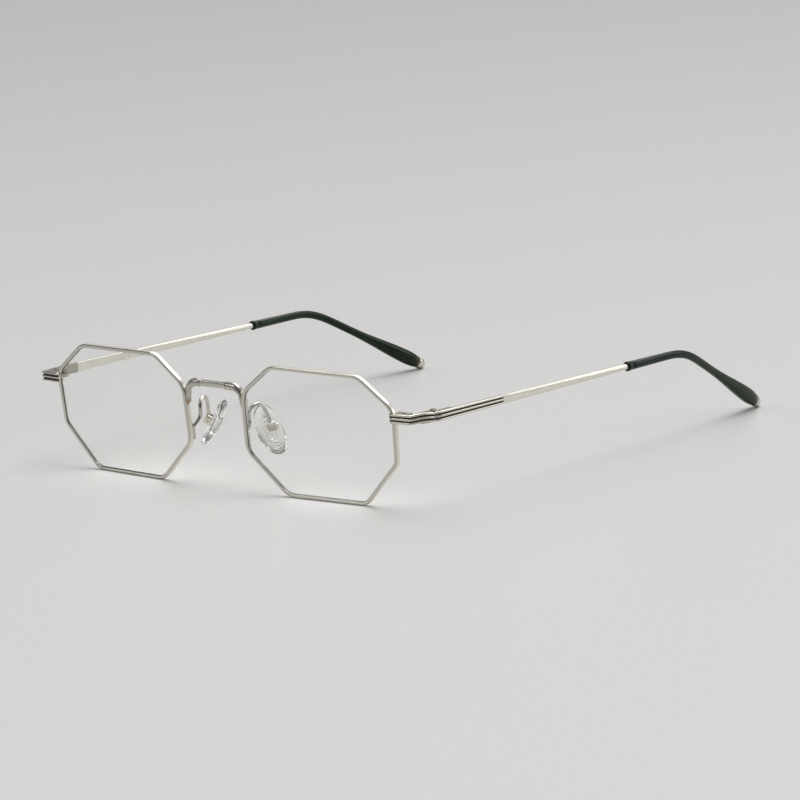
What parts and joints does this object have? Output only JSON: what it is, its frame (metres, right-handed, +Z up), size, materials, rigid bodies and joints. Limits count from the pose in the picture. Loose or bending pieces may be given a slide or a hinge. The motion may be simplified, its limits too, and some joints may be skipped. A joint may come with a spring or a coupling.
{
  "type": "eyeglasses",
  "caption": "Thin metal spectacles with octagonal rims, clear lenses, ribbed endpieces, folding temples with dark curved tips and adjustable nose pads.",
  "frame": {"origin": "bottom centre of the bounding box, on the surface that the open glasses stand on", "axes": "+X to the wearer's left, +Y from the front towards the temple tips, +Z up"},
  "size_m": [0.1396, 0.1518, 0.0353],
  "materials": {
    "polished_metal": "polished warm silver plate, slightly champagne",
    "satin_metal": "satin warm silver",
    "temple_metal": "fine brushed along its length, polished ribs",
    "clear_lens": "clear, uncoated demonstration lens",
    "clear_pad": "clear moulded plastic",
    "dark_green_acetate": "polished translucent dark green acetate"
  },
  "bodies": {
    "front": {"rim_left": "polished_metal", "rim_right": "polished_metal", "lens_left": "clear_lens", "lens_right": "clear_lens", "bridge": "polished_metal", "rim_tab_left": "polished_metal", "rim_tab_right": "polished_metal", "lock_block_left": "polished_metal", "lock_block_right": "polished_metal", "lock_screws": "satin_metal", "endpiece_left": "polished_metal", "endpiece_right": "polished_metal", "hinge_front_leaf_left": "satin_metal", "hinge_front_leaf_right": "satin_metal", "hinge_screws": "satin_metal", "pad_arm_left": "polished_metal", "pad_arm_right": "polished_metal", "pad_box_left": "satin_metal", "pad_box_right": "satin_metal", "pad_screws": "satin_metal"},
    "temple_left": {"hinge_temple_leaf_left": "satin_metal", "temple_left": "temple_metal", "tip_collar_left": "dark_green_acetate", "temple_tip_left": "dark_green_acetate", "end_cap_left": "polished_metal"},
    "temple_right": {"hinge_temple_leaf_right": "satin_metal", "temple_right": "temple_metal", "tip_collar_right": "dark_green_acetate", "temple_tip_right": "dark_green_acetate", "end_cap_right": "polished_metal"},
    "pad_left": {"nose_pad_left": "clear_pad", "pad_lug_left": "clear_pad"},
    "pad_right": {"nose_pad_right": "clear_pad", "pad_lug_right": "clear_pad"}
  },
  "joints": [
    {"name": "temple_left_fold", "type": "hinge", "parent": "front", "child": "temple_left", "pos_m": [0.06674, -0.06387, 0.0241], "axis": [0, 0, 1], "range_deg": [0, 89]},
    {"name": "temple_right_fold", "type": "hinge", "parent": "front", "child": "temple_right", "pos_m": [-0.06674, -0.06387, 0.0241], "axis": [0, 0, -1], "range_deg": [0, 84.5]},
    {"name": "pad_left_rock", "type": "hinge", "parent": "front", "child": "pad_left", "pos_m": [0.0116, -0.06579, 0.0162], "axis": [-0.4521, -0.8674, -0.208], "range_deg": [-10, 10]},
    {"name": "pad_right_rock", "type": "hinge", "parent": "front", "child": "pad_right", "pos_m": [-0.0116, -0.06579, 0.0162], "axis": [0.4521, -0.8674, -0.208], "range_deg": [-10, 10]}
  ]
}
